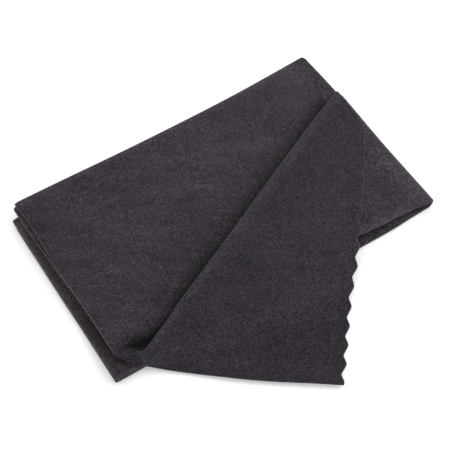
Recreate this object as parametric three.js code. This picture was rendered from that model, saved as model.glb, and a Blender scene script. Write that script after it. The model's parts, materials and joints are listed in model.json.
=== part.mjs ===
// Polishing cloth: one soft sheet folded in thirds, then in half, with a corner of its top layer turned over.
// Millimetres, +Z up. The table is z = 0 and the origin is the middle of the bottom panel's underside.
import * as THREE from "three";

// The cloth itself
const clothThickness = 0.6;
const toothPitch = 9;
const toothDepth = 1.9;

// Air between two layers at the right-hand fold, and between a panel and the fold it runs into
const layerGap = 0.4;
const seamGap = 0.3;

// The folded outline, seen from above
const upperLength = 150; // from the cut end to the right-hand fold
const lowerOverhang = 4.1; // how far the lower half sticks out past the upper one at the cut end
const innerOverhang = 1.5; // and the tucked third past the middle one
const middleThird = 96.7; // back fold to front fold, along the right-hand fold
const bottomThird = 92; // front fold to the pinked edge below
const tuckedThird = 80; // back fold to the pinked edge inside
const lowerBackInset = 1.5;
const lowerFrontSkew = 2.3; // degrees between a front fold and the back fold
const upperFrontSkew = 4.6;

// How far each layer springs up at the cut end
const lowerMiddleLift = 0.45;
const lowerInnerLift = 1.2;
const upperInnerLift = 3.0;
const upperMiddleLift = 3.9;
const topLift = 4.7;

// The turned corner
const creaseInset = 29; // back fold to the crease, along the right-hand fold
const creaseAngle = 23.7; // degrees to the back fold
const rollLoft = 0.7; // extra radius of the crease where it is loosest, over the front fold
const rollReach = 26; // how far from the crease the corner comes down onto the layer below
const pleatEase = 6; // along the crease, where it crosses the front fold and the two open out
const cornerDrop = 6; // front fold to the start of the turned cut edge, at the cut end
const turnedLength = 87; // cut edge, from there to the tip
const turnedAngle = 36.5; // degrees between that edge and the back fold
const pinkedInset = 50; // back fold to the pinked edge, along the right-hand fold
const drapeReach = 43; // how far past the front fold the corner takes to come down to the table
const tableGap = 0.2;

// Facets
const foldSteps = 8;
const rollColumns = 24;
const toothSteps = 5;
const drapeRows = 8;
const drapeColumns = 12;

const suede = new THREE.MeshStandardMaterial({ color: 0x47434a, roughness: 0.95, metalness: 0 });
const cloth = new THREE.Group();

// Heights of the six layers, bottom, middle and tucked third of the lower half, then the same of the upper half
const [bottom, lowerMiddle, lowerInner, upperInner, upperMiddle, top] = [0, 1, 2, 3, 4, 5];
const lifts = [0, lowerMiddleLift, lowerInnerLift, upperInnerLift, upperMiddleLift, topLift];
const layerPitch = clothThickness + layerGap;
const lowerLength = upperLength + lowerOverhang;
const foldX = lowerLength / 2;
const frontY = -bottomThird / 2;
const backY = frontY + middleThird;
const panelEnd = foldX - seamGap;
const cutEnd = foldX - upperLength;
const slope = (degrees) => Math.tan(THREE.MathUtils.degToRad(degrees));
const height = (layer, x) =>
  clothThickness / 2 + layer * layerPitch + (lifts[layer] * (foldX - x)) / upperLength;

// A fold between one layer and the next: its radius, and the line where it starts
const foldRadius = (layer, x) => (height(layer + 1, x) - height(layer, x)) / 2;
const foldDepth = (layer, x) => foldRadius(layer, x) + clothThickness / 2;
const lowerFront = (x) => frontY + slope(lowerFrontSkew) * (foldX - x) + foldDepth(bottom, x);
const upperFront = (x) => frontY + slope(upperFrontSkew) * (foldX - x) + foldDepth(upperMiddle, x);
const lowerBack = (x) => backY - lowerBackInset - foldDepth(lowerMiddle, x);
const upperBack = (x) => backY - foldDepth(upperInner, x);

// A sheet of the cloth's thickness over a grid of points on its middle surface
function sheet(name, columns, rows, place) {
  const grid = columns.map((u) => rows.map((v) => place(u, v)));
  const [nu, nv] = [columns.length, rows.length];
  const along = new THREE.Vector3();
  const across = new THREE.Vector3();
  const sides = [1, -1].map((side) =>
    grid.map((column, i) =>
      column.map((point, j) => {
        along.subVectors(grid[Math.min(i + 1, nu - 1)][j], grid[Math.max(i - 1, 0)][j]);
        across.subVectors(column[Math.min(j + 1, nv - 1)], column[Math.max(j - 1, 0)]);
        const normal = along.clone().cross(across).normalize();
        return normal.multiplyScalar((side * clothThickness) / 2).add(point);
      }),
    ),
  );
  const positions = sides.flat(2).flatMap((p) => [p.x, p.y, p.z]);
  const index = (side, i, j) => (side * nu + i) * nv + j;
  const faces = [];
  const quad = (a, b, c, d) => faces.push(a, b, c, a, c, d);
  for (let i = 0; i + 1 < nu; i++)
    for (let j = 0; j + 1 < nv; j++) {
      quad(index(0, i, j), index(0, i + 1, j), index(0, i + 1, j + 1), index(0, i, j + 1));
      quad(index(1, i, j), index(1, i, j + 1), index(1, i + 1, j + 1), index(1, i + 1, j));
    }
  for (let i = 0; i + 1 < nu; i++) {
    quad(index(0, i, 0), index(1, i, 0), index(1, i + 1, 0), index(0, i + 1, 0));
    quad(index(0, i, nv - 1), index(0, i + 1, nv - 1), index(1, i + 1, nv - 1), index(1, i, nv - 1));
  }
  for (let j = 0; j + 1 < nv; j++) {
    quad(index(0, 0, j), index(0, 0, j + 1), index(1, 0, j + 1), index(1, 0, j));
    quad(index(0, nu - 1, j), index(1, nu - 1, j), index(1, nu - 1, j + 1), index(0, nu - 1, j + 1));
  }
  const geometry = new THREE.BufferGeometry();
  geometry.setAttribute("position", new THREE.Float32BufferAttribute(positions, 3));
  geometry.setIndex(faces);
  geometry.computeVertexNormals();
  const mesh = new THREE.Mesh(geometry, suede);
  mesh.name = name;
  cloth.add(mesh);
  return mesh;
}

const steps = (from, to, count) => Array.from({ length: count + 1 }, (_, i) => from + ((to - from) * i) / count);
const toothed = (from, to, pitch) => steps(from, to, Math.max(2, Math.round(((to - from) / pitch) * toothSteps)));
const tooth = (distance) => (toothDepth / 2) * (1 - Math.cos((2 * Math.PI * distance) / toothPitch));

// A panel from its cut end to the right-hand fold. Pinked edges are set in by their teeth.
function panel(name, layer, start, front, back, pinked = "") {
  const columns = pinked ? toothed(start, panelEnd, toothPitch) : [start, panelEnd];
  return sheet(name, columns, [0, 1], (x, v) => {
    const near = front(x) + (pinked === "front" ? tooth(x - start) : 0);
    const far = back(x) - (pinked === "back" ? tooth(x - start) : 0);
    return new THREE.Vector3(x, THREE.MathUtils.lerp(near, far, v), height(layer, x));
  });
}

// A half turn along X from one layer to the next, bulging to the front or to the back
function longFold(name, layer, start, line, towards) {
  return sheet(name, [start, panelEnd], steps(-towards * 90, towards * 90, foldSteps), (x, angle) => {
    const turn = THREE.MathUtils.degToRad(angle);
    const radius = foldRadius(layer, x);
    const middle = (height(layer, x) + height(layer + 1, x)) / 2;
    return new THREE.Vector3(
      x,
      line(x) + towards * radius * Math.cos(turn),
      middle + towards * radius * Math.sin(turn),
    );
  });
}

// A half turn along Y, where a layer of the lower half runs on into the upper half
function endFold(name, layer, front, back) {
  const middle = (height(lowerInner, foldX) + height(upperInner, foldX)) / 2;
  const radius = middle - height(layer, foldX);
  return sheet(name, steps(-90, 90, foldSteps), [front, back], (angle, y) => {
    const turn = THREE.MathUtils.degToRad(angle);
    return new THREE.Vector3(foldX + radius * Math.cos(turn), y, middle + radius * Math.sin(turn));
  });
}

// Lower half
const lowerEnd = foldX - lowerLength;
const inFrontOf = (line) => (x) => line(x) - seamGap;
const behind = (line) => (x) => line(x) + seamGap;
panel("bottom_panel", bottom, lowerEnd, behind(lowerFront), () => frontY + bottomThird, "back");
longFold("lower_front_fold", bottom, lowerEnd, lowerFront, -1);
panel("lower_middle_panel", lowerMiddle, lowerEnd, behind(lowerFront), inFrontOf(lowerBack));
longFold("lower_back_fold", lowerMiddle, lowerEnd, lowerBack, 1);
const lowerTuck = () => backY - lowerBackInset - tuckedThird;
panel("lower_tucked_panel", lowerInner, lowerEnd, lowerTuck, inFrontOf(lowerBack), "front");

// Upper half. The crease of the turned corner meets the front fold at the apex and runs on to the cut edge.
const crease = (x) => backY - creaseInset - slope(creaseAngle) * (foldX - x);
const apexX = foldX - (backY - creaseInset - frontY) / (slope(creaseAngle) + slope(upperFrontSkew));
const pleatStart = apexX + pleatEase / 2;
const innerEnd = cutEnd - innerOverhang;
const upperTuck = () => backY - tuckedThird;
panel("upper_tucked_panel", upperInner, innerEnd, upperTuck, inFrontOf(upperBack), "front");
longFold("upper_back_fold", upperInner, cutEnd, upperBack, 1);
panel("upper_middle_panel", upperMiddle, cutEnd, behind(upperFront), inFrontOf(upperBack));
longFold("upper_front_fold", upperMiddle, pleatStart + seamGap, upperFront, -1);

// What is left of the top third, a triangle between the front fold, the right-hand fold and the crease
const topTip = pleatStart + (3 * seamGap + clothThickness) / (slope(creaseAngle) + slope(upperFrontSkew));
panel("top_panel", top, topTip, behind(upperFront), (x) => crease(x) - seamGap);

// Right-hand folds, the outer one only as far as the crease
const frontEnd = (line) => line(foldX) + seamGap;
endFold("inner_end_fold", lowerInner, Math.max(lowerTuck(), upperTuck()) + toothDepth, lowerBack(foldX) - seamGap);
endFold("middle_end_fold", lowerMiddle, frontEnd(lowerFront), lowerBack(foldX) - seamGap);
endFold("outer_end_fold", bottom, frontEnd(lowerFront), crease(foldX) - seamGap);

// The turned corner lies on the stack, hangs over the front fold and comes to rest on the table
const turn = THREE.MathUtils.degToRad(turnedAngle);
const cutStart = new THREE.Vector2(cutEnd, upperFront(cutEnd) - cornerDrop);
const tip = new THREE.Vector2(Math.cos(turn), -Math.sin(turn)).multiplyScalar(turnedLength).add(cutStart);
const cutEdge = (x) => cutStart.y - Math.tan(turn) * (x - cutStart.x);
const pinkedLine = new THREE.Vector2(foldX, backY - pinkedInset).sub(tip);
const pinkedLength = pinkedLine.length();
const rollRadius = (x) => {
  const share = x > apexX ? (foldX - x) / (foldX - apexX) : (x - cutEnd) / (apexX - cutEnd);
  return layerPitch / 2 + rollLoft * share;
};
const turnedHeight = (x, y) => {
  const nearCrease = 1 - THREE.MathUtils.smoothstep(crease(x) - y, 0, rollReach);
  const onStack = height(top, x) + THREE.MathUtils.lerp(layerPitch, 2 * rollRadius(x), nearCrease);
  const fall = THREE.MathUtils.smoothstep(upperFront(x) - y, 0, drapeReach);
  return THREE.MathUtils.lerp(onStack, tableGap + clothThickness / 2, fall);
};
const cutColumns = steps(0, 1, drapeColumns).slice(0, -1);
const pinkedColumns = toothed(0, pinkedLength, toothPitch).map((distance) => 1 + distance / pinkedLength);
const creaseEndX =
  cutEnd + (cutStart.y - crease(cutEnd)) / (slope(creaseAngle) + Math.tan(turn)) + 2 * seamGap / slope(creaseAngle);
sheet("turned_corner", [...cutColumns, ...pinkedColumns], steps(0, 1, drapeRows), (u, v) => {
  const edge = new THREE.Vector2(THREE.MathUtils.lerp(creaseEndX, tip.x, u), 0);
  edge.y = cutEdge(edge.x);
  if (u > 1) edge.copy(tip).addScaledVector(pinkedLine, u - 1);
  const start = new THREE.Vector2(edge.x, crease(edge.x) - seamGap);
  const inward = new THREE.Vector2(-pinkedLine.y, pinkedLine.x).normalize();
  if (u > 1) edge.addScaledVector(inward, tooth((u - 1) * pinkedLength));
  const point = edge.lerp(start, v);
  return new THREE.Vector3(point.x, point.y, turnedHeight(point.x, point.y));
});

// The rolled crease turns the top third over. Past the apex it opens out into a ridge beside the middle third.
sheet("corner_roll", steps(cutEnd, panelEnd, rollColumns), steps(90, -90, foldSteps), (x, angle) => {
  const roundness = THREE.MathUtils.degToRad(angle);
  const rise = (1 + Math.sin(roundness)) / 2;
  const folded = THREE.MathUtils.smoothstep(x, apexX - pleatEase / 2, pleatStart);
  const endY = Math.max(crease(x), cutEdge(x));
  const startY = THREE.MathUtils.lerp(upperFront(x) - seamGap, crease(x), folded);
  const startZ = THREE.MathUtils.lerp(height(upperMiddle, x), height(top, x), folded);
  return new THREE.Vector3(
    x,
    THREE.MathUtils.lerp(startY, endY, rise) + folded * rollRadius(x) * Math.cos(roundness),
    THREE.MathUtils.lerp(startZ, turnedHeight(x, endY), rise),
  );
});

export default cloth;
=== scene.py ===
import json
import math

import bmesh
import bpy
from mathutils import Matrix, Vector, noise


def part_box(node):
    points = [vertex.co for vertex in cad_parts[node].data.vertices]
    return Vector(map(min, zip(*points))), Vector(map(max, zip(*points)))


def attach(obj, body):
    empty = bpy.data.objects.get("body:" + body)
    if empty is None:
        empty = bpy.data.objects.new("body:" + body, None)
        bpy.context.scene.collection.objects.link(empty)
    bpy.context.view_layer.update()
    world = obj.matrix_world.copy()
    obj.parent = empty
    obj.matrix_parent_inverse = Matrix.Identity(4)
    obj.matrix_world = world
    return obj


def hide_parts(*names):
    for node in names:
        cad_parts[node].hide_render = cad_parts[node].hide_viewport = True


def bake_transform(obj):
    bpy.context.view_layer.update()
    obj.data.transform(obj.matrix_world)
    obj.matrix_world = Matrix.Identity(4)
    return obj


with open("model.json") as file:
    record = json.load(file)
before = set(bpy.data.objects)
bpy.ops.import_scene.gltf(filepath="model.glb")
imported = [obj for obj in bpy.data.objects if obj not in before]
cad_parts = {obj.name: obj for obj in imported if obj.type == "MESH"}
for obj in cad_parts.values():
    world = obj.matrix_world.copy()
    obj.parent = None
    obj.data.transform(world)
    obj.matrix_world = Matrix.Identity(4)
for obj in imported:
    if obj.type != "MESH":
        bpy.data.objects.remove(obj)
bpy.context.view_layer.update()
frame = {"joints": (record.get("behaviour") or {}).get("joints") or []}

mm = 0.001  # the cloth is worked out in millimetres, Blender wants metres
tiny = 1e-6
print("frame loaded")


# Small helpers

def lerp(a, b, share):
    return a + (b - a) * share


def limited(share):
    return min(max(share, 0), 1)


def smooth(value, low, high):
    # 0 at low and 1 at high, which may be the smaller of the two
    share = limited((value - low) / (high - low))
    return share * share * (3 - 2 * share)


def softMin(a, b, radius):
    # the smaller of two values, rounded where they are close
    if radius < tiny:
        return min(a, b)
    overlap = max(radius - abs(a - b), 0) / radius
    return min(a, b) - overlap * overlap * radius / 4


def bump(value, centre, width, high):
    return high * math.exp(-((value - centre) / width) ** 2)


def evenly(start, end, count):
    return [lerp(start, end, k / count) for k in range(count + 1)]


def fromEdge(edge, end, count, hem):
    # like evenly, with one more step close to a free edge
    hem = min(hem, abs(end - edge) / (count + 1))
    inner = edge + math.copysign(hem, end - edge)
    return [edge] + evenly(inner, end, count)


def ripple(x, y, size, seed):
    return noise.noise(Vector((x / size, y / size, seed)))


def direction(azimuth, elevation):
    # azimuth 0 is the front, -Y
    turn, tilt = math.radians(azimuth), math.radians(elevation)
    return Vector((math.sin(turn) * math.cos(tilt), -math.cos(turn) * math.cos(tilt), math.sin(tilt)))


def faceBack(thing, away):
    thing.rotation_euler = (-away).to_track_quat("-Z", "Y").to_euler()


# The camera, matched to the photograph's outline

view = {
    "azimuth": -33.6,
    "elevation": 60.4,
    "distance": 0.4327,
    "target": (-0.0019, -0.0037, 0.0),
    "lens": 80,
    "sensor": 36,
    "nearest": 0.01,
}


def makeCamera():
    away = direction(view["azimuth"], view["elevation"])
    camera = bpy.data.objects.new("camera", bpy.data.cameras.new("camera"))
    camera.data.lens = view["lens"]
    camera.data.sensor_width = view["sensor"]
    camera.data.clip_start = view["nearest"]
    camera.location = Vector(view["target"]) + away * view["distance"]
    faceBack(camera, away)
    bpy.context.scene.collection.objects.link(camera)
    bpy.context.scene.camera = camera


makeCamera()
print("camera set")


# Suede: one node group for the nap, shared by the faces and the cut edges

def newGroup(name, inputs, outputs):
    group = bpy.data.node_groups.new(name, "ShaderNodeTree")
    for way, sockets in (("INPUT", inputs), ("OUTPUT", outputs)):
        for label, kind in sockets:
            group.interface.new_socket(label, in_out=way, socket_type=kind)
    return group, group.nodes.new("NodeGroupInput"), group.nodes.new("NodeGroupOutput")


def feed(tree, socket, value):
    if isinstance(value, bpy.types.NodeSocket):
        tree.links.new(value, socket)
    else:
        socket.default_value = value


def addNode(tree, kind, settings=None, **inputs):
    node = tree.nodes.new(kind)
    for key, value in (settings or {}).items():
        setattr(node, key, value)
    for label, value in inputs.items():
        feed(tree, node.inputs[label.replace("_", " ")], value)
    return node


def mathNode(tree, operation, *values):
    node = tree.nodes.new("ShaderNodeMath")
    node.operation = operation
    for socket, value in zip(node.inputs, values):
        feed(tree, socket, value)
    return node.outputs[0]


napShape = {
    "layers": [  # fineness against the grain size, detail and amount
        (1.0, 1.0, 3.6),  # single fibres
        (0.45, 1.0, 1.5),  # small tufts of them
        (0.16, 2.0, 0.7),  # loose clumps
    ],
    "layerRoughness": 0.5,
    "rowShare": 0.4,  # how much the rows of the knit show by themselves
    "strokes": (150.0, 2.0, 0.6, 0.5),  # scale, detail, roughness and amount
    "strokeTurn": -0.58,
    "strokeLength": 3.6,  # against their width
    "patches": (34.0, 2.0, 0.5, 0.5),
    "standing": 0.5,  # between root and pile, where nothing moves it
    "closing": 1.8,  # above 1 the roots show more
}


def makeNap():
    colour, number = "NodeSocketColor", "NodeSocketFloat"
    group, given, made = newGroup(
        "suedeNap",
        [
            ("Pile Colour", colour),
            ("Root Colour", colour),
            ("Grain Size", number),
            ("Grain Amount", number),
            ("Brushing", number),
            ("Knit Pitch", number),
            ("Knit Amount", number),
            ("Knit Turn", number),
            ("Painted Light And Tone", number),
        ],
        [("Colour", colour), ("Pile Height", number)],
    )
    place = group.nodes.new("ShaderNodeTexCoord").outputs["Object"]

    def times(a, b):
        return mathNode(group, "MULTIPLY", a, b)

    def plus(a, b):
        return mathNode(group, "ADD", a, b)

    def uneven(where, scale, detail, roughness, amount):
        texture = addNode(
            group, "ShaderNodeTexNoise", Vector=where, Scale=scale, Detail=detail, Roughness=roughness,
        )
        return times(mathNode(group, "SUBTRACT", texture.outputs["Fac"], 0.5), amount)

    perMetre = mathNode(group, "DIVIDE", 1.0, given.outputs["Grain Size"])
    fibres, tufts, clumps = (
        uneven(place, times(perMetre, fineness), detail, napShape["layerRoughness"], amount)
        for fineness, detail, amount in napShape["layers"]
    )
    nap = plus(plus(fibres, tufts), clumps)

    # the knit underneath, rows and columns of small dimples
    turned = addNode(
        group, "ShaderNodeVectorRotate", {"rotation_type": "Z_AXIS"},
        Vector=place, Angle=given.outputs["Knit Turn"],
    ).outputs["Vector"]
    along = addNode(group, "ShaderNodeSeparateXYZ", Vector=turned)
    perTurn = mathNode(group, "DIVIDE", 2 * math.pi, given.outputs["Knit Pitch"])
    rows = mathNode(group, "SINE", times(along.outputs["X"], perTurn))
    columns = mathNode(group, "SINE", times(along.outputs["Y"], perTurn))
    dimples = plus(times(rows, columns), times(rows, napShape["rowShare"]))
    grain = plus(nap, times(dimples, given.outputs["Knit Amount"]))

    # strokes of the hand over the nap, and slow patches
    brushedAndPaintedLight = addNode(
        group, "ShaderNodeMapping", {"vector_type": "TEXTURE"}, Vector=place,
        Rotation=(0, 0, napShape["strokeTurn"]), Scale=(napShape["strokeLength"], 1, 1),
    ).outputs["Vector"]
    strokes = uneven(brushedAndPaintedLight, *napShape["strokes"])
    patches = uneven(place, *napShape["patches"])
    brushing = times(plus(strokes, patches), given.outputs["Brushing"])
    rough = times(grain, given.outputs["Grain Amount"])
    standing = plus(plus(rough, brushing), napShape["standing"])
    # painted light and shade, with one lighter patch of tone, raise or lower the pile
    standing = plus(standing, given.outputs["Painted Light And Tone"])
    pile = addNode(group, "ShaderNodeClamp", Value=standing).outputs["Result"]
    pile = mathNode(group, "POWER", pile, napShape["closing"])

    mixed = addNode(
        group, "ShaderNodeMix", {"data_type": "RGBA"},
        Factor=pile, A=given.outputs["Root Colour"], B=given.outputs["Pile Colour"],
    )
    group.links.new(mixed.outputs["Result"], made.inputs["Colour"])
    group.links.new(grain, made.inputs["Pile Height"])
    return group


napGroup = makeNap()

suedeFace = {
    "pile": (0.0960, 0.0795, 0.1000),
    "root": (0.0060, 0.0046, 0.0062),
    "grainSize": 0.00046,
    "grainAmount": 0.37,
    "brushing": 0.62,
    "knitPitch": 0.0014,
    "knitAmount": 0.1,
    "knitTurn": 0,
    "fuzz": 0.00004,
    "roughness": 0.92,
    "specular": 0.12,
    "sheen": 0.2,
    "sheenRoughness": 0.5,
    "sheenTint": (0.78, 0.74, 0.80),
}
lowerFace = {  # painted warm bounce light on the shaded cut end of the lower half
    **suedeFace,
    "paintedBounce": (0.1020, 0.0780, 0.0850),
    "paintedBounceFrom": (-0.045, -0.066),  # along X, where it starts and where it is full
    "paintedBounceBehind": (-0.042, -0.018),  # along Y, so not at the front corner
}
turnedFace = {  # the turned corner, a darker copy of the face: painted shade, because its nap lies the other way and catches less light
    **suedeFace,
    "pile": (0.0760, 0.0630, 0.0835),
    "root": (0.0048, 0.0038, 0.0053),
    "brushing": 0.4,
    "knitTurn": 47,
}
# the cut and pinked edges are lighter than the face: partly the cut fibres' own tone, partly a painted
# highlight where their fuzz catches the light
cutEdge = {
    **suedeFace,
    "pile": (0.165, 0.142, 0.165),
    "root": (0.030, 0.026, 0.030),
    "grainSize": 0.00045,
    "brushing": 0.2,
    "sheen": 0.25,
}
pinkedEdge = {**cutEdge, "pile": (0.105, 0.088, 0.110), "root": (0.020, 0.017, 0.021)}


# the pile colour is warmed towards the lower half's cut end: painted warm bounce light
def paintedBouncePile(tree, look):
    place = tree.nodes.new("ShaderNodeTexCoord").outputs["Object"]
    place = addNode(tree, "ShaderNodeSeparateXYZ", Vector=place)
    shares = []
    for axis, key in (("X", "paintedBounceFrom"), ("Y", "paintedBounceBehind")):
        start, end = look[key]
        ramp = addNode(tree, "ShaderNodeMapRange", Value=place.outputs[axis], From_Min=start, From_Max=end)
        shares.append(ramp.outputs["Result"])
    tone = addNode(
        tree, "ShaderNodeMix", {"data_type": "RGBA"},
        Factor=mathNode(tree, "MULTIPLY", *shares), A=(*look["pile"], 1), B=(*look["paintedBounce"], 1),
    )
    return tone.outputs["Result"]


def makeSuede(name, look):
    material = bpy.data.materials.new(name)
    material.use_nodes = True
    tree = material.node_tree
    nap = tree.nodes.new("ShaderNodeGroup")
    nap.node_tree = napGroup
    # the painted light and shade, and tone, that each point of the mesh carries
    paintedLightAndTone = addNode(tree, "ShaderNodeAttribute", {"attribute_name": "paintedLightAndTone"})
    napInputs = {
        "Pile Colour": paintedBouncePile(tree, look) if "paintedBounce" in look else (*look["pile"], 1),
        "Root Colour": (*look["root"], 1),
        "Grain Size": look["grainSize"],
        "Grain Amount": look["grainAmount"],
        "Brushing": look["brushing"],
        "Knit Pitch": look["knitPitch"],
        "Knit Amount": look["knitAmount"],
        "Knit Turn": math.radians(look["knitTurn"]),
        "Painted Light And Tone": paintedLightAndTone.outputs["Fac"],
    }
    for label, value in napInputs.items():
        feed(tree, nap.inputs[label], value)
    fuzz = addNode(tree, "ShaderNodeBump", Height=nap.outputs["Pile Height"], Distance=look["fuzz"])

    shader = tree.nodes["Principled BSDF"]
    tree.links.new(nap.outputs["Colour"], shader.inputs["Base Color"])
    tree.links.new(fuzz.outputs["Normal"], shader.inputs["Normal"])
    shader.inputs["Roughness"].default_value = look["roughness"]
    shader.inputs["Specular IOR Level"].default_value = look["specular"]
    shader.inputs["Sheen Weight"].default_value = look["sheen"]
    shader.inputs["Sheen Roughness"].default_value = look["sheenRoughness"]
    shader.inputs["Sheen Tint"].default_value = (*look["sheenTint"], 1)
    return material


faceMaterial = makeSuede("suede face", suedeFace)
lowerMaterial = makeSuede("suede lower face", lowerFace)
turnedMaterial = makeSuede("suede turned face", turnedFace)
edgeMaterial = makeSuede("suede cut edge", cutEdge)
pinkedMaterial = makeSuede("suede pinked edge", pinkedEdge)
print("suede made")


# The folded stack, read from the frame. Layers count from 0, the bottom panel, to 5, what is left of the top.

panels = [
    "bottom_panel", "lower_middle_panel", "lower_tucked_panel",
    "upper_tucked_panel", "upper_middle_panel", "top_panel",
]
topLayer = len(panels) - 1
middleLayer = topLayer / 2

cloth = {  # what both halves share
    "seamInset": 6,  # from here to the right-hand end the folds are pieces of their own
    "columns": 132,
    "thirdRows": 18,
    "middleRows": 26,
    "tuckedRows": 20,
    "turnRows": 10,
    "frontSteps": (0, 0.7, 1.5, 2.5, 3.8, 5.6),  # closer rows along the front of the middle third
    "frontStretch": 8,  # where the even rows begin
    "hem": 0.5,  # the second row lies this close to a free edge
    "broadWave": (48, 0.34, 3.1),  # slow waves in the layers: size, height and seed
    "fineWave": (14, 0.07, 7.7),
    "waveReach": 16,  # they die out towards the right-hand fold
    "edgeWander": 0.28,  # how far an edge strays from its line
    "wanderStep": 3,  # how much the layers differ in that
    "toothPitch": 8.42,
    "toothDepth": 1.5,
    "toothLean": 0.43,  # where between two points the root lies
    "toothSharp": 0.9,  # 1 is a sharp zigzag
    "edgeBulge": 0.16,  # a free edge is rounded outwards
    "edgeThin": 0.72,  # and is thinner
    "foldHighlight": (0.7, 0.2),  # how wide and how bright the painted highlight along a fold is
    "sideHighlight": 0.07,  # painted light along the front half of the right-hand fold
    "sideHighlightReach": 9,
    "sideHighlightAt": (14, -6),
}

hinges = {joint["name"]: joint for joint in frame["joints"]}


def boxOf(node):
    low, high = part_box(node)
    return low / mm, high / mm


foldX, foldZ = (hinges["half_open"]["pos_m"][axis] / mm for axis in (0, 2))
bottomLow, bottomHigh = boxOf("bottom_panel")
thickness = bottomHigh.z - bottomLow.z
pitch = (foldZ - thickness / 2) / middleLayer
seamX = foldX - cloth["seamInset"]
lowerEnd = bottomLow.x
cutEnd = boxOf("upper_middle_panel")[0].x
innerEnd = boxOf("upper_tucked_panel")[0].x


def layerSlope(layer):
    low, high = boxOf(panels[layer])
    return (high.z - thickness / 2 - foldZ - (layer - middleLayer) * pitch) / (foldX - low.x)


slopes = [layerSlope(layer) for layer in range(len(panels))]


def height(layer, x):
    below = min(int(layer), topLayer - 1)
    slope = lerp(slopes[below], slopes[below + 1], layer - below)
    return foldZ + (layer - middleLayer) * pitch + slope * (foldX - x)


def wave(layer, x, y):
    broadSize, broadHigh, broadSeed = cloth["broadWave"]
    fineSize, fineHigh, fineSeed = cloth["fineWave"]
    broad = ripple(x, y, broadSize, broadSeed) * broadHigh
    fine = ripple(x, y, fineSize, fineSeed) * fineHigh
    return (broad + fine) * layer / topLayer * smooth(foldX - x, 0, cloth["waveReach"])


def turnRadius(layer, x):
    return abs(height(layer + 1, x) - height(layer, x)) / 2


def frontLine(node, layer):
    low, high = boxOf(node)
    skew = (high.y - turnRadius(layer, low.x) - thickness / 2 - low.y) / (high.x - low.x)
    return lambda x: low.y + skew * (high.x - x)


lowerFront = frontLine("lower_front_fold", 0)
upperFront = frontLine("upper_front_fold", 4)
lowerBack = boxOf("lower_back_fold")[1].y
upperBack = boxOf("upper_back_fold")[1].y
lowerTuck = boxOf("lower_tucked_panel")[0].y
upperTuck = boxOf("upper_tucked_panel")[0].y

creaseAt = Vector(hinges["corner_turn"]["pos_m"]) / mm
creaseAxis = Vector(hinges["corner_turn"]["axis"])


def crease(x):
    return creaseAt.y + (x - creaseAt.x) * creaseAxis.y / creaseAxis.x


# the crease crosses the upper front edge at apexX, and the top triangle's tip is at tipX
creaseSlope = creaseAxis.y / creaseAxis.x
frontSkew = upperFront(foldX - 1) - upperFront(foldX)
apexX = foldX - (crease(foldX) - upperFront(foldX)) / (creaseSlope + frontSkew)
tipX = boxOf("upper_front_fold")[0].x


def tooth(distance):
    # a rounded zigzag, 0 at a point of the edge
    lean, sharp = cloth["toothLean"], cloth["toothSharp"]
    place = distance / cloth["toothPitch"] % 1
    towardsRoot = place / lean if place < lean else (1 - place) / (1 - lean)
    swing = sharp * math.cos(math.pi * towardsRoot)
    return cloth["toothDepth"] / 2 * (1 - math.asin(swing) / math.asin(sharp))


def sectionRows(third, front, back, tuck, frontRadius, backRadius):
    # (y, depth) from the outer third's free edge round the front, over the middle and round the back
    # to the tucked edge, where depth counts the layers passed
    turn = [math.radians(a) for a in evenly(-90, 90, cloth["turnRows"])[1:-1]]
    rows = [(y, 0) for y in fromEdge(third, front, cloth["thirdRows"], cloth["hem"])]
    rows += [(front - frontRadius * math.cos(a), (1 + math.sin(a)) / 2) for a in turn]
    rows += [(front + step, 1) for step in cloth["frontSteps"]]
    rows += [(y, 1) for y in evenly(front + cloth["frontStretch"], back, cloth["middleRows"])]
    rows += [(back + backRadius * math.cos(a), 1 + (1 + math.sin(a)) / 2) for a in turn]
    rows += [(y, 2) for y in reversed(fromEdge(tuck, back, cloth["tuckedRows"], cloth["hem"]))]
    return rows


turnRow = cloth["thirdRows"] + 2  # first row of the front turn
middleRow = turnRow + cloth["turnRows"] - 1  # first row of the middle third
backRow = middleRow + len(cloth["frontSteps"]) + cloth["middleRows"]  # and its last


# A piece of cloth from a grid of points on its middle surface. Its sides are cut, which is rounded and shows
# the cut edge, fold, which is rounded only, or seam, which stays square.

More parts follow.
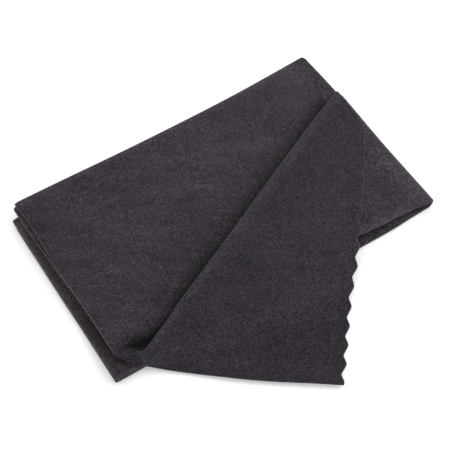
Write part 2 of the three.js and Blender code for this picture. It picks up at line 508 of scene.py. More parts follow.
def clothPiece(name, grid, sides, kept=None, face=faceMaterial, cut=edgeMaterial, paintedLightAndTone=None):
    columns, rows = len(grid), len(grid[0])
    middle = bmesh.new()
    places = {}
    corners = {}

    def cornerAt(i, j):
        if (i, j) not in corners:
            corners[i, j] = middle.verts.new(grid[i][j])
            places[corners[i, j]] = (i, j)
        return corners[i, j]

    for i in range(columns - 1):
        for j in range(rows - 1):
            if kept is None or kept(i, j):
                around = ((i, j), (i + 1, j), (i + 1, j + 1), (i, j + 1))
                middle.faces.new([cornerAt(*place) for place in around])
    middle.normal_update()

    def sideOf(edge):
        (i, j), (k, m) = (places[vert] for vert in edge.verts)
        if i == k == 0:
            return sides["firstColumn"]
        if i == k == columns - 1:
            return sides["lastColumn"]
        if j == m == 0:
            return sides["firstRow"]
        if j == m == rows - 1:
            return sides["lastRow"]
        return "seam"

    borders = [edge for edge in middle.edges if edge.is_boundary]
    outward = {vert: Vector() for edge in borders for vert in edge.verts}
    for edge in borders:
        a, b = edge.verts
        away = (b.co - a.co).cross(edge.link_faces[0].normal)
        if away.dot(edge.link_faces[0].calc_center_median() - a.co) > 0:
            away.negate()
        share = 0 if sideOf(edge) == "seam" else cloth["edgeBulge"]
        for vert in edge.verts:
            outward[vert] += away.normalized() * share

    solid = bmesh.new()
    # each point carries its painted light and shade, and tone, as an attribute
    paintedLightLayer = solid.verts.layers.float.new("paintedLightAndTone")
    upper, lower, rim = {}, {}, {}
    for vert in middle.verts:
        free = vert in outward and outward[vert].length > tiny
        half = vert.normal * thickness / 2 * (cloth["edgeThin"] if free else 1)
        upper[vert] = solid.verts.new((vert.co + half) * mm)
        lower[vert] = solid.verts.new((vert.co - half) * mm)
        if vert in outward:
            rim[vert] = solid.verts.new((vert.co + outward[vert]) * mm)
        if paintedLightAndTone:
            upper[vert][paintedLightLayer] = lower[vert][paintedLightLayer] = paintedLightAndTone(*places[vert])
    for cell in middle.faces:
        solid.faces.new([upper[vert] for vert in cell.verts])
        solid.faces.new([lower[vert] for vert in reversed(cell.verts)])
    for edge in borders:
        loop = edge.link_loops[0]
        a, b = loop.vert, loop.link_loop_next.vert
        kind = sideOf(edge)
        for near, far in ((upper, rim), (rim, lower)):
            strip = solid.faces.new([near[b], near[a], far[a], far[b]])
            strip.material_index = 1 if kind == "cut" else 0
        if kind == "seam":
            for ring in (upper, lower):
                solid.edges.get([ring[a], ring[b]]).smooth = False
    for cell in solid.faces:
        cell.smooth = True

    mesh = bpy.data.meshes.new(name)
    solid.to_mesh(mesh)
    middle.free()
    solid.free()
    mesh.materials.append(face)
    mesh.materials.append(cut)
    piece = bpy.data.objects.new(name, mesh)
    bpy.context.scene.collection.objects.link(piece)
    return piece


def foldHighlight(column, row, ridgeRow):
    # painted highlight along a fold's upper turn
    return bump((column[row] - column[ridgeRow]).length, 0, *cloth["foldHighlight"])


# painted light along the front half of the right-hand fold
def sideHighlight(x, y):
    atSide = smooth(x, seamX - cloth["sideHighlightReach"], seamX)
    return cloth["sideHighlight"] * atSide * smooth(y, *cloth["sideHighlightAt"])


# Right-hand folds: how they stand, which the halves lead up to

endFolds = {
    "shift": (-0.37, 0.6, 0.14),  # sideways at the front, behind the middle and at the back
    "shiftAt": (-15, 28, 50),
    "shiftReach": 14,  # inwards from the seam
    "pinch": (0.35, 1.0),  # how far the corners are rounded off, front and back
    "pinchFrom": (30, 48),  # out from the middle
    "marginColumns": 4,
    "turnColumns": 18,
}


def endShift(x, y):
    atFront, along, atBack = endFolds["shift"]
    front, middle, back = endFolds["shiftAt"]
    shift = lerp(lerp(atFront, along, smooth(y, front, middle)), atBack, smooth(y, middle, back))
    return shift * smooth(x, seamX - endFolds["shiftReach"], foldX)


# Lower half

lowerCloth = {
    "frontOut": 0.7,  # the front fold bags out, except near the right-hand end
    "frontOutReach": 22,
    "frontWander": (21, 1.3),  # size and seed
    "inset": 1.6,  # the back is drawn in towards the cut end
    "insetFrom": 20,
    "taper": 14,  # before the seam the bottom panel's free edge runs in to the end of the crease
    "endReach": 12,  # how far in from the cut end its shape is felt
    "endWander": (26, 2.2),
    "overhang": 0.7,  # the cut end lies further out
    "tuckedInset": 6,  # but its tucked third is drawn in
    "tuckedDepth": (1.4, 2),
    "notch": 1.2,  # the cut end of the front fold is rounded off
    "notchReach": 5,
    "puff": 2.3,  # the front fold stands up towards the cut end
    "puffFrom": 10,
    "puffBehind": (32, 6),  # measured from the front edge
    "bandLight": 0.3,  # painted light on the cut end, towards the back
    "bandReach": (12, 6),
    "bandAt": (-18, 34),
    "edgeHighlight": (1.6, 0.15),  # and a painted highlight along its edge: how wide and how bright
    "frontShade": (0.32, 0.02),  # the front fold is darker below, and on top away from the cut end
    "shadeAway": 0.4,  # how much of the shade below is left there
    "shadeBelow": (0.3, 1.0),
    "shadeBehind": (9, 4),
    "nearCut": (-20, -50),
}


def lowerSection(x):
    frontRadius, backRadius = turnRadius(0, x), turnRadius(1, x)
    taper = smooth(x, seamX - lowerCloth["taper"], seamX)
    wander = cloth["edgeWander"] * ripple(x, 0, *lowerCloth["frontWander"])
    wander -= lowerCloth["frontOut"] * smooth(foldX - x, 0, lowerCloth["frontOutReach"])
    inset = lowerCloth["inset"] * smooth(x, lowerCloth["insetFrom"], lowerEnd)
    return sectionRows(
        lerp(bottomHigh.y - inset - tooth(x - lowerEnd), crease(foldX), taper),
        lowerFront(x) + thickness / 2 + frontRadius + wander,
        lowerBack - thickness / 2 - backRadius - inset,
        lowerTuck + tooth(x - lowerEnd),
        frontRadius,
        backRadius,
    )


def lowerColumn(x):
    points = []
    away = smooth(x, lowerEnd + lowerCloth["endReach"], lowerEnd)
    atNotch = smooth(x, lowerEnd + lowerCloth["notchReach"], lowerEnd)
    for y, depth in lowerSection(x):
        wander = cloth["edgeWander"] * ripple(y, depth * cloth["wanderStep"], *lowerCloth["endWander"])
        drawnIn = lowerCloth["tuckedInset"] * smooth(depth, *lowerCloth["tuckedDepth"])
        shift = (wander - lowerCloth["overhang"] + drawnIn) * away
        shift += lowerCloth["notch"] * math.sin(math.pi * min(depth, 1)) ** 2 * atNotch
        shift += endShift(x, y)
        puff = lowerCloth["puff"] * smooth(x, lowerCloth["puffFrom"], lowerEnd)
        puff = puff * smooth(y - lowerFront(x), *lowerCloth["puffBehind"]) * min(depth, 1)
        points.append(Vector((x + shift, y, height(depth, x) + wave(depth, x, y) + puff)))
    return points


lowerX = fromEdge(lowerEnd, seamX, cloth["columns"], cloth["hem"])
lowerGrid = [lowerColumn(x) for x in lowerX]
lowerRidge = middleRow - 2


# painted highlight along the front fold near the cut end, painted light on the cut end and its edge, and
# painted shade on the front fold
def lowerPaintedLight(i, j):
    x, y, _ = lowerGrid[i][j]
    fromCut = x - lowerGrid[0][j].x
    band = lowerCloth["bandLight"] * smooth(fromCut, *lowerCloth["bandReach"])
    band = band * smooth(y, *lowerCloth["bandAt"]) + bump(fromCut, 0, *lowerCloth["edgeHighlight"])
    under = (lowerGrid[i][j] - lowerGrid[i][lowerRidge]).length if j < lowerRidge else 0
    atCut = smooth(x, *lowerCloth["nearCut"])
    below, onTop = lowerCloth["frontShade"]
    below = below * lerp(lowerCloth["shadeAway"], 1, atCut) * smooth(under, *lowerCloth["shadeBelow"])
    onTop = onTop * (1 - atCut) * smooth(y - lowerFront(x), *lowerCloth["shadeBehind"])
    return foldHighlight(lowerGrid[i], j, lowerRidge) * atCut + band - (below + onTop)


lowerHalf = clothPiece(
    "lower_half_cloth", lowerGrid,
    {"firstColumn": "cut", "lastColumn": "seam", "firstRow": "cut", "lastRow": "cut"},
    face=lowerMaterial, paintedLightAndTone=lowerPaintedLight,
)
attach(lowerHalf, "lower_half")
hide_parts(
    "bottom_panel", "lower_front_fold", "lower_middle_panel", "lower_back_fold", "lower_tucked_panel",
)
print("lower half folded")


# Upper half

upperCloth = {
    "backInset": (-0.8, 1.75, 0.25),  # the back fold is drawn in: at the cut end, between, at the other end
    "backLean": 1.4,  # above 1 the deepest place is past the middle
    "frontWander": (24, 5.9),  # size and seed
    "frontWanderReach": 16,
    "frontSetBack": 1.5,  # the front fold lies behind the lower one near the right-hand end
    "setBackReach": 8,
    "setBackAt": (0, 28),
    "frontSag": (53, 6, 0.55),  # where it bags out, how wide and how far
    "frontBay": (-66, 4.5, 1.5),  # where it is drawn back beside the pocket
    "frontLift": (52, 6, 1.3),  # where it lifts
    "frontDrop": 2.3,  # and around that it sinks onto the lower half
    "dropAt": (36, 48),
    "dropReach": 10,
    "bendReach": 11,  # lift and drop fade out this far behind the front
    "valleyDip": 4.0,  # the front sinks towards the turned corner
    "valleyReach": 8.0,
    "valleyStart": 0.08,  # the share of the dip at the cut end
    "valleyFull": 12,  # where it is full, before the crease's front end
    "valleyEnd": 9,  # and where it is gone, past the top triangle's tip
    "valleySteep": 3,
    "valleyShade": 0.5,  # painted shade down there
    "leastTop": 0.3,  # what is left of the top third at its tip
    "endReach": 14,  # how far in from the cut end its shape is felt
    "endWander": (23, 8.4),
    "upToTurn": (1.5, 1),  # depths: the middle third, up to half way round the back fold
    "pastTurn": (1.5, 2),  # and the tucked third, from there
    "tuckedOverhang": 2.3,  # the tucked third pokes out at the back of the cut end
    "tuckedAt": (2, 46),
    "cutOut": (12, 18, 0.7),  # where along the cut end the layers lie further out, how wide and how far
    "cornerOut": (50, 7, 0.9),  # and the middle third's back corner
    "turnNotch": 1.5,  # the cut end of the back fold is drawn in
    "turnSlip": 1.6,  # the tucked third lies further forward there
    "slipDepth": (1.2, 2),
    "tuckedLift": 0.75,  # and rises towards the layer above it, a share of the gap
    "liftReach": 20,
    "liftDepth": (1, 2),
    "rollShadow": (12.0, 0.5),  # painted shadow behind the roll: how far it reaches, and how dark it gets
    "rollShadowLess": 0.5,  # the share of that reach at the crease's front end
    "rollShadowGrow": 35,
    "rollShadowFade": 1.5,
    "rollShadowEdge": (-2, 3),
    "rollShadowStart": 8,
    "cutEndShade": 0.045,  # painted shade, darker towards the cut end
    "stroke": (-46, -3, 10, 0.1),  # a lighter place: where, how wide and how much
}


def backLine(x):
    atCut, between, atFold = upperCloth["backInset"]
    share = limited((x - cutEnd) / (foldX - cutEnd))
    drawnIn = between * math.sin(math.pi * share ** upperCloth["backLean"])
    return upperBack - lerp(atCut, atFold, share) - drawnIn


def frontCentre(x):
    wander = cloth["edgeWander"] * ripple(x, 0, *upperCloth["frontWander"])
    wander *= smooth(foldX - x, 0, upperCloth["frontWanderReach"])
    setBack = upperCloth["frontSetBack"] * smooth(foldX - x, 0, upperCloth["setBackReach"])
    setBack *= smooth(x, *upperCloth["setBackAt"])
    sag = bump(x, *upperCloth["frontSag"]) - bump(x, *upperCloth["frontBay"])
    return upperFront(x) + thickness / 2 + turnRadius(4, x) + wander + setBack - sag


def valleyShare(x, y):
    along = lerp(upperCloth["valleyStart"], 1, smooth(x, cutEnd, apexX - upperCloth["valleyFull"]))
    along *= smooth(x, tipX + upperCloth["valleyEnd"], tipX)
    behind = max(y - frontCentre(x), 0) / upperCloth["valleyReach"]
    return along * max(1 - behind, 0) ** upperCloth["valleySteep"]


def frontBend(x, y, depth):
    # up and down along the front edge
    fromFront = y - frontCentre(x)
    drop = upperCloth["frontDrop"] * smooth(x, *upperCloth["dropAt"])
    lift = bump(x, *upperCloth["frontLift"]) - drop * smooth(foldX - x, 0, upperCloth["dropReach"])
    lift *= (1 - smooth(fromFront, 0, upperCloth["bendReach"])) * smooth(depth, *upperCloth["upToTurn"])
    return lift - upperCloth["valleyDip"] * valleyShare(x, y) * max(min(depth, 2 - depth), 0)


def upperSection(x):
    backRadius = turnRadius(3, x)
    return sectionRows(
        max(crease(x), frontCentre(x) + upperCloth["leastTop"]),
        frontCentre(x),
        backLine(x) - thickness / 2 - backRadius,
        upperTuck + tooth(x - innerEnd),
        turnRadius(4, x),
        backRadius,
    )


def upperColumn(x):
    points = []
    away = smooth(x, cutEnd + upperCloth["endReach"], cutEnd)
    gap = height(4, x) - height(3, x) - thickness
    rise = upperCloth["tuckedLift"] * gap * smooth(x, cutEnd + upperCloth["liftReach"], cutEnd)
    for y, depth in upperSection(x):
        overhang = upperCloth["tuckedOverhang"] * smooth(y, *upperCloth["tuckedAt"])
        overhang = overhang * smooth(depth, *upperCloth["pastTurn"]) + bump(y, *upperCloth["cutOut"])
        overhang += bump(y, *upperCloth["cornerOut"]) * smooth(depth, *upperCloth["upToTurn"])
        notch = upperCloth["turnNotch"] * math.sin(math.pi * max(depth - 1, 0)) ** 2
        wander = cloth["edgeWander"] * ripple(y, depth * cloth["wanderStep"], *upperCloth["endWander"])
        shift = wander - overhang + notch
        y -= upperCloth["turnSlip"] * away * smooth(depth, *upperCloth["slipDepth"])
        layer = topLayer - depth
        lift = rise * smooth(depth, *upperCloth["liftDepth"])
        z = height(layer, x) + wave(layer, x, y) + frontBend(x, y, depth) + lift
        points.append(Vector((x + shift * away + endShift(x, y), y, z)))
    return points


# the columns meet the tip of the top triangle exactly
tipShare = round(cloth["columns"] * (tipX - cutEnd) / (seamX - cutEnd))
upperX = fromEdge(cutEnd, tipX, tipShare, cloth["hem"])
upperX += evenly(tipX, seamX, cloth["columns"] - tipShare)[1:]
tipColumn = tipShare + 1
upperGrid = [upperColumn(x) for x in upperX]
frontRidge = turnRow + 2
backRidge = backRow + 2


def onUpper(i, j):
    return i >= tipColumn or j >= middleRow


def rollShadow(x, y):
    # painted shadow on the middle panel behind the roll
    reach, most = upperCloth["rollShadow"]
    reach *= lerp(upperCloth["rollShadowLess"], 1, smooth(x, apexX, apexX + upperCloth["rollShadowGrow"]))
    behind = y - crease(x)
    shadow = most * max(1 - behind / reach, 0) ** upperCloth["rollShadowFade"]
    shadow *= smooth(behind, *upperCloth["rollShadowEdge"])
    return shadow * smooth(x, apexX - upperCloth["rollShadowStart"], apexX + upperCloth["rollShadowStart"])


# painted highlights along the folds, painted shade in the valley, behind the roll and towards the cut end,
# painted light near the right-hand fold, and one lighter patch of tone
def upperPaintedLight(i, j):
    x, y, _ = upperGrid[i][j]
    if j < middleRow:
        return foldHighlight(upperGrid[i], j, frontRidge)
    dark = upperCloth["valleyShade"] * valleyShare(x, y)
    dark += rollShadow(x, y) if j <= backRow else 0
    dark += upperCloth["cutEndShade"] * smooth(x, 0, cutEnd)
    strokeX, strokeY, size, more = upperCloth["stroke"]
    light = bump(math.hypot(x - strokeX, y - strokeY), 0, size, more) + sideHighlight(x, y)
    return foldHighlight(upperGrid[i], j, backRidge) + light - dark


upperHalf = clothPiece(
    "upper_half_cloth", upperGrid,
    {"firstColumn": "cut", "lastColumn": "seam", "firstRow": "seam", "lastRow": "cut"},
    onUpper, paintedLightAndTone=upperPaintedLight,
)
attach(upperHalf, "upper_half")
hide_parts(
    "upper_tucked_panel", "upper_back_fold", "upper_middle_panel", "upper_front_fold", "top_panel",
)
print("upper half folded")


# Right-hand folds: a margin of each half and the turn between them

def endColumn(angle):
    # one station of the turn, angle from -90 on the lower half to 90 on the upper
    turn = math.radians(angle)
    share = (angle + 90) / 180
    middle = (lowerFront(foldX) + upperBack) / 2
    points = []
    for (lowerY, depth), (upperY, _) in zip(lowerSection(foldX), upperSection(foldX)):
        radius = (middleLayer - depth) * pitch
        y = lerp(lowerY, upperY, share)
        edge = smooth(abs(y - middle), *endFolds["pinchFrom"])
        y -= math.copysign(endFolds["pinch"][y > middle] * edge * math.cos(turn), y - middle)
        x = foldX + endShift(foldX, y) + radius * math.cos(turn)
        points.append(Vector((x, y, foldZ + radius * math.sin(turn))))
    return points


endGrid = [lowerColumn(x) for x in evenly(seamX, foldX, endFolds["marginColumns"])[:-1]]
endGrid += [endColumn(angle) for angle in evenly(-90, 90, endFolds["turnColumns"])]
endGrid += [upperColumn(x) for x in evenly(foldX, seamX, endFolds["marginColumns"])[1:]]
outerGrid = [column[:backRow + 1] for column in endGrid]
innerGrid = [column[backRow:] for column in endGrid]


def endFold(name, grid, sides, lowerLayer, upperLayer, *nodes):
    # painted light along the front half of the right-hand fold, fading out on its lower turns
    def paintedSideLight(i, j):
        x, y, z = grid[i][j]
        return sideHighlight(x, y) * smooth(z, foldZ - 2 * pitch, foldZ + pitch)

    piece = clothPiece(name, grid, {"firstColumn": "seam", "lastColumn": "seam", **sides}, paintedLightAndTone=paintedSideLight)
    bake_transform(piece)
    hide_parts(*nodes)
    return piece


outerFolds = endFold(
    "right_hand_folds", outerGrid, {"firstRow": "cut", "lastRow": "seam"},
    1, 4, "outer_end_fold", "middle_end_fold",
)
innerFold = endFold(
    "inner_right_hand_fold", innerGrid, {"firstRow": "seam", "lastRow": "cut"}, 2, 3, "inner_end_fold",
)
print("right-hand folds turned")


# The turned corner: a roll along the crease, then the flap down to the table

corner = {
    "cutDrop": 6,  # from the front fold at the cut end to the line that the tip is measured along
    "cutLength": 86.9,
    "cutAngle": 37.1,
    "cutStart": 0.5,  # from the front fold to where the cut edge itself starts
    "bow": (1.2, 1.4),  # the cut edge's curve near its start, and in its middle
    "bowStart": 3.5,
    "bowMiddle": (0.57, 0.27),  # where along the edge, and how wide
    "bowEnd": 12,  # the higher, the later the curve ends before the tip
    "pinkedInset": 50,  # back fold to the pinked edge, along the right-hand fold
    "pinkedBow": (0.4, 1.4),  # the pinked edge's curve on the table, and over the stack
    "pinkedBowAt": (0.3, 0.45),  # shares of the pinked edge, from the tip
    "pinkedBowEnds": (0.1, 0.88),
    "firstTooth": 1.0,  # from the tip to the first point of the pinked edge
    "restingTeeth": 0.75,  # the teeth that lie on the stack are pulled shallower
    "restingAt": (0.45, 0.75),
    "edgeDrop": (8.0, 8.0),  # height of the cut edge at its start, and how soon it is down
    "tableGap": 0.2,
    "curl": (1.3, 14),  # the cut edge curls up from the table: how high, and from how far in
    "curlWave": (22, 0.35, 9.1),  # size, share and seed
    "curlFrom": (12, 34),  # along X from the cut end
    "loft": (0.45, 0.85, 0.55),  # the roll at the right-hand fold, along its middle and at the front
    "loftEnds": (24, 18),  # how long the change takes at the right-hand fold, and at the front
    "loftStart": 4,
    "lean": 0.9,  # the roll leans back at the right-hand fold
    "leanFrom": 20,  # along X from the crease's front end
    "reach": 26,  # how far from the crease the roll holds the flap up
    "ridgeRadius": 1.6,
    "ease": 6,  # how soon past the top triangle's tip the roll starts from the crease
    "nose": (2.5, 3.3),  # where the ridge drops, either side of the point where the crease meets the cut edge
    "noseInset": 0.3,
    "pocketStart": (2, 3.0),  # around there the ridge begins to stand over a pocket
    "pocketDepth": 0.8,
    "pocketDip": 0.7,
    "pocketLip": 2.6,
    "fall": 32,  # how far in front of the stack the flap is down
    "hang": 0.85,  # below 1 it still falls at its edge
    "hangReach": 25,
    "sideDrop": 0.45,  # it sinks a little at the right-hand fold
    "sideDropFrom": 4,
    "sideReach": 0.5,  # and reaches past it
    "broadWave": (30, 0.35, 4.6),
    "edgeTurn": 6,  # the higher, the closer to the edge the rows turn to meet it squarely
    "bend": 3.0,  # the flap's first stretch
    "paintedLightAndTone": (0.7, 1.3, 0.13),  # painted highlight along the ridge: where past it, how wide and how bright
    "ridgeHighlightFrom": 4,
    "flapShade": -0.05,  # painted shade: the flap a little darker
    "slopeLight": (0.45, 0.3, 0.11),  # but painted light on the way down to the table
    "pinkedSideShade": (45, 9, 0.06),  # and painted shade in a band beside the pinked edge
    "dipHeight": (0.3, 0.05),  # where it still lies high
    "flapPaintReach": 6,
    "shadeRows": 0.8,  # the share of the roll's rows that lie in the pocket's shade
    "shadeFrom": (1, 3),
    "shadeEnd": 3,
    "rollRows": 22,
    "flapRows": 42,
    "cutColumns": 56,
    "toothColumns": 14,
}

cutAngle = math.radians(corner["cutAngle"])
cutStart = Vector((cutEnd, frontCentre(cutEnd) - corner["cutDrop"]))
tip = cutStart + corner["cutLength"] * Vector((math.cos(cutAngle), -math.sin(cutAngle)))
pinkedEnd = Vector((foldX, upperBack - corner["pinkedInset"]))
pinkedLine = pinkedEnd - tip
pinkedInward = Vector((-pinkedLine.y, pinkedLine.x)).normalized()
sideX = foldX + corner["sideReach"]


def cutEdgeY(x):
    share = (x - cutEnd) / (tip.x - cutEnd)
    along = limited(share)
    near, far = corner["bow"]
    bow = near * (1 - math.exp(-(x - cutEnd) / corner["bowStart"])) * (1 - along * along)
    bow += bump(along, *corner["bowMiddle"], far) * (1 - along ** corner["bowEnd"])
    return lerp(frontCentre(cutEnd) - corner["cutStart"], tip.y, share) - bow


def creaseMeetsCut(halvings=40):
    low, high = cutEnd, apexX
    for _ in range(halvings):
        middle = (low + high) / 2
        low, high = (low, middle) if crease(middle) > cutEdgeY(middle) else (middle, high)
    return low


creaseEnd = creaseMeetsCut()


def rollRadius(x):
    atFold, along, atFront = corner["loft"]
    foldLength, frontLength = corner["loftEnds"]
    loft = lerp(along, atFold, smooth(x, foldX - foldLength, foldX))
    loft = lerp(loft, atFront, smooth(x, apexX + frontLength, apexX))
    return pitch / 2 + loft * smooth(x, cutEnd - corner["loftStart"], apexX)


def edgeHeight(x):
    # the cut edge comes down from the stack to the table in one curve
    high, length = corner["edgeDrop"]
    return corner["tableGap"] + max(high * math.exp(-(x - cutEnd) / length), thickness / 2)


def edgeCurl(x, y):
    high, reach = corner["curl"]
    size, uneven, seed = corner["curlWave"]
    begins, full = corner["curlFrom"]
    start = smooth(x, cutEnd + begins, cutEnd + full)
    return high * (1 + uneven * ripple(x, 0, size, seed)) * start * smooth(y - cutEdgeY(x), reach, 0)


def ridgeY(x):
    # along the crease, and past its front end a little behind the cut edge
    if x > apexX:
        return crease(x)
    behindEdge = lerp(cutEdgeY(x), frontCentre(x), corner["noseInset"])
    return -softMin(-crease(x), -behindEdge, corner["ridgeRadius"])


def flapHeight(x, y):
    nearCrease = 1 - smooth(crease(x) - y, 0, corner["reach"])
    onStack = height(topLayer, x) + lerp(pitch, 2 * rollRadius(x), nearCrease)
    onStack -= corner["sideDrop"] * smooth(x, foldX - corner["sideDropFrom"], sideX)
    front = frontCentre(x)
    start = softMin(front, ridgeY(x), corner["ridgeRadius"])
    end = front - corner["fall"] if x > tip.x else max(cutEdgeY(x), front - corner["fall"])
    # near the cut end the flap hangs, further on it meets the table flat
    hang = lerp(corner["hang"], 1, smooth(x, apexX, apexX + corner["hangReach"]))
    fall = smooth(hang * min((start - y) / (start - end), 1), 0, 1) / smooth(hang, 0, 1)
    size, high, seed = corner["broadWave"]
    loose = high * ripple(x, y, size, seed) * fall * (1 - fall) * 4  # full height half way down
    return lerp(onStack + wave(topLayer + 1, x, y), edgeHeight(x), fall) + loose + edgeCurl(x, y)


def flapEdge(x):
    if x <= tip.x:
        return Vector((x, cutEdgeY(x)))
    share = (x - tip.x) / pinkedLine.x
    flat = lerp(1, corner["restingTeeth"], smooth(share, *corner["restingAt"]))
    first, last = corner["pinkedBowEnds"]
    bow = lerp(*corner["pinkedBow"], smooth(share, *corner["pinkedBowAt"]))
    bow = bow * smooth(share, 0, first) * smooth(share, 1, last)
    zigzag = tooth(share * pinkedLine.length - corner["firstTooth"]) * flat
    return tip + pinkedLine * share + pinkedInward * (zigzag - bow)


def curvePoint(ends, share):
    # a cubic curve through the first and last point
    a, b, c, d = ends
    left = 1 - share
    return a * left ** 3 + b * 3 * left * left * share + c * 3 * left * share * share + d * share ** 3


def rollCurve(x):
    # (y, z) from the front of the stack, or from the crease, round the roll to its ridge
    folded = smooth(x, tipX, tipX + corner["ease"])
    front = frontCentre(x)
    valley = Vector((front, height(4, x) + wave(4, x, front) + frontBend(x, front, 1)))
    onTop = Vector((crease(x), height(topLayer, x) + wave(topLayer, x, crease(x))))
    top = ridgeY(x)
    ridge = Vector((top, flapHeight(x, top)))
    if x < apexX:
        # the ridge ends in a nose that drops to the cut edge
        share = (front - top) / (front - cutEdgeY(x))
        low = lerp(valley.y, edgeHeight(x), share)
        nose = smooth(x, creaseEnd - corner["nose"][0], creaseEnd + corner["nose"][1])
        ridge.y = lerp(low, ridge.y, nose)

    # near the crease's front end the cloth goes in under the ridge, a dark pocket
    before, after = corner["pocketStart"]
    slot = smooth(x, creaseEnd - before, creaseEnd + after)
    under = Vector((top - corner["pocketDepth"], valley.y - corner["pocketDip"]))
    over = Vector((top + corner["pocketLip"], ridge.y))
    bulge = Vector((4 / 3 * rollRadius(x), 0))  # makes the curve a half circle
    first = valley.lerp(ridge, 1 / 3).lerp(under, slot).lerp(onTop + bulge, folded)
    second = Vector((lerp(top, front, 1 / 3), ridge.y)).lerp(over, slot).lerp(ridge + bulge, folded)
    return valley.lerp(onTop, folded), first, second, ridge


def cornerColumn(x):
    roll = rollCurve(x)
    edge = flapEdge(x)
    top, topZ = roll[3]
    leaning = corner["lean"] * smooth(x, apexX + corner["leanFrom"], foldX)
    points = []
    for share in evenly(0, 1, corner["rollRows"]):
        y, z = curvePoint(roll, share)
        lean = leaning * math.sin(math.pi * share) ** 2
        points.append(Vector((x + endShift(x, y), y + lean, z)))
    sunk = topZ - flapHeight(x, top)
    for share in evenly(0, 1, corner["flapRows"])[1:]:
        y = lerp(top, edge.y, share)
        along = lerp(x, edge.x, share ** corner["edgeTurn"]) + endShift(x, y)
        points.append(Vector((along, y, flapHeight(x, y) + sunk * (1 - share))))
    return points


toothStep = cloth["toothPitch"] * pinkedLine.x / pinkedLine.length / corner["toothColumns"]
cornerX = fromEdge(cutEnd, tip.x, corner["cutColumns"], cloth["hem"])
cornerX += evenly(tip.x, sideX, round((sideX - tip.x) / toothStep))[1:]
cornerGrid = [cornerColumn(x) for x in cornerX]


def pocketShade(x, row):
    begins, full = corner["shadeFrom"]
    inside = smooth(row, corner["rollRows"] * corner["shadeRows"], 0)
    inside *= smooth(x, creaseEnd - begins, creaseEnd + full)
    return upperCloth["valleyShade"] * (inside * smooth(x, apexX + corner["shadeEnd"], apexX))


def cornerPaintedLight(i, j):
    # painted highlight along the ridge, painted light and shade on the flap, and painted shade inside the
    # pocket
    x = cornerX[i]
    ridge = cornerGrid[i][corner["rollRows"]]
    past = math.copysign((cornerGrid[i][j] - ridge).length, j - corner["rollRows"])
    down = 1 - cornerGrid[i][j].z / ridge.z
    brushedAndPaintedLight = corner["flapShade"] + bump(down, *corner["slopeLight"])
    brushedAndPaintedLight -= bump(x, *corner["pinkedSideShade"]) * smooth(down, *corner["dipHeight"])
    brushedAndPaintedLight *= smooth(past, 0, corner["flapPaintReach"])
    ridgeHighlight = bump(past, *corner["paintedLightAndTone"]) * smooth(x, cutEnd + corner["ridgeHighlightFrom"], apexX)
    return ridgeHighlight + brushedAndPaintedLight - pocketShade(x, j)


turnedCorner = clothPiece(
    "turned_corner_cloth", cornerGrid,
    {"firstColumn": "cut", "lastColumn": "fold", "firstRow": "seam", "lastRow": "cut"},
    face=turnedMaterial, cut=pinkedMaterial, paintedLightAndTone=cornerPaintedLight,
)
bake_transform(turnedCorner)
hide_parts("corner_roll", "turned_corner")
print("corner turned over")


# One sheet in five pieces: the flat area of each is worked out

def flatArea(grid, kept=None):
    total = 0
    for i in range(len(grid) - 1):
        for j in range(len(grid[0]) - 1):
            if kept is None or kept(i, j):
                a, b, c, d = grid[i][j], grid[i + 1][j], grid[i + 1][j + 1], grid[i][j + 1]
                total += (c - a).cross(d - b).length / 2
    return total * mm * mm


def declareSheet(grid, kept=None):
    area = flatArea(grid, kept)


declareSheet(lowerGrid)
declareSheet(upperGrid, onUpper)
declareSheet(outerGrid)
declareSheet(innerGrid)
declareSheet(cornerGrid)


# Table and light

studio = {
    "tableSize": 6.0,
    "tableDrop": 0.0002,
    "tableColour": 0.92,
    "tableGlow": 0.2,  # lifts the table to plain white, only where it is seen directly or mirrored
    "skyStrength": 0.85,
    "lamps": [  # light on the cloth, width and distance in metres, azimuth and elevation in degrees
        ("key", 0.9, 0.6, 0.8, 72, 45),
        ("back", 0.5, 0.55, 0.68, 152, 54),
    ],
}
white = (1, 1, 1, 1)


def seenDirectly(tree):
    path = tree.nodes.new("ShaderNodeLightPath")
    mirrored = mathNode(tree, "MAXIMUM", path.outputs["Is Glossy Ray"], path.outputs["Is Transmission Ray"])
    return mathNode(tree, "MAXIMUM", path.outputs["Is Camera Ray"], mirrored)


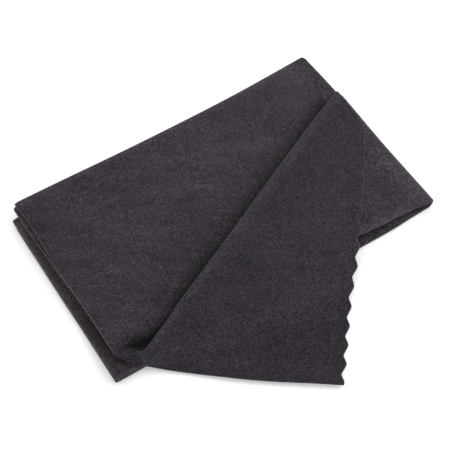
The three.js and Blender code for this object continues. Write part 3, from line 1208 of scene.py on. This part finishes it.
def makeTable():
    half = studio["tableSize"] / 2
    outline = ((-half, -half), (half, -half), (half, half), (-half, half))
    mesh = bpy.data.meshes.new("table")
    mesh.from_pydata([(x, y, -studio["tableDrop"]) for x, y in outline], [], [(0, 1, 2, 3)])
    table = bpy.data.objects.new("table", mesh)
    bpy.context.scene.collection.objects.link(table)
    material = bpy.data.materials.new("white table")
    material.use_nodes = True
    tree = material.node_tree
    tree.nodes.clear()
    grey = studio["tableColour"]
    paint = addNode(tree, "ShaderNodeBsdfDiffuse", Color=(grey, grey, grey, 1))
    strength = mathNode(tree, "MULTIPLY", seenDirectly(tree), studio["tableGlow"])
    glow = addNode(tree, "ShaderNodeEmission", Color=white, Strength=strength)
    both = tree.nodes.new("ShaderNodeAddShader")
    tree.links.new(paint.outputs["BSDF"], both.inputs[0])
    tree.links.new(glow.outputs["Emission"], both.inputs[1])
    output = tree.nodes.new("ShaderNodeOutputMaterial")
    tree.links.new(both.outputs["Shader"], output.inputs["Surface"])
    mesh.materials.append(material)


def makeSky():
    world = bpy.data.worlds.new("studio")
    world.use_nodes = True
    tree = world.node_tree
    tree.nodes.clear()
    sky = addNode(tree, "ShaderNodeBackground", Color=white, Strength=studio["skyStrength"])
    backdrop = addNode(tree, "ShaderNodeBackground", Color=white, Strength=1.0)
    mix = tree.nodes.new("ShaderNodeMixShader")
    tree.links.new(seenDirectly(tree), mix.inputs["Fac"])
    tree.links.new(sky.outputs["Background"], mix.inputs[1])
    tree.links.new(backdrop.outputs["Background"], mix.inputs[2])
    output = tree.nodes.new("ShaderNodeOutputWorld")
    tree.links.new(mix.outputs["Shader"], output.inputs["Surface"])
    bpy.context.scene.world = world


def makeLamps():
    for name, strength, width, distance, azimuth, elevation in studio["lamps"]:
        lamp = bpy.data.objects.new(name, bpy.data.lights.new(name, "AREA"))
        lamp.data.energy = strength * math.pi * distance * distance
        lamp.data.size = width
        lamp.visible_camera = False
        away = direction(azimuth, elevation)
        lamp.location = away * distance
        faceBack(lamp, away)
        bpy.context.scene.collection.objects.link(lamp)


makeTable()
makeSky()
makeLamps()
bpy.context.scene.view_settings.view_transform = "Standard"
print("table and light set")

bpy.context.view_layer.update()
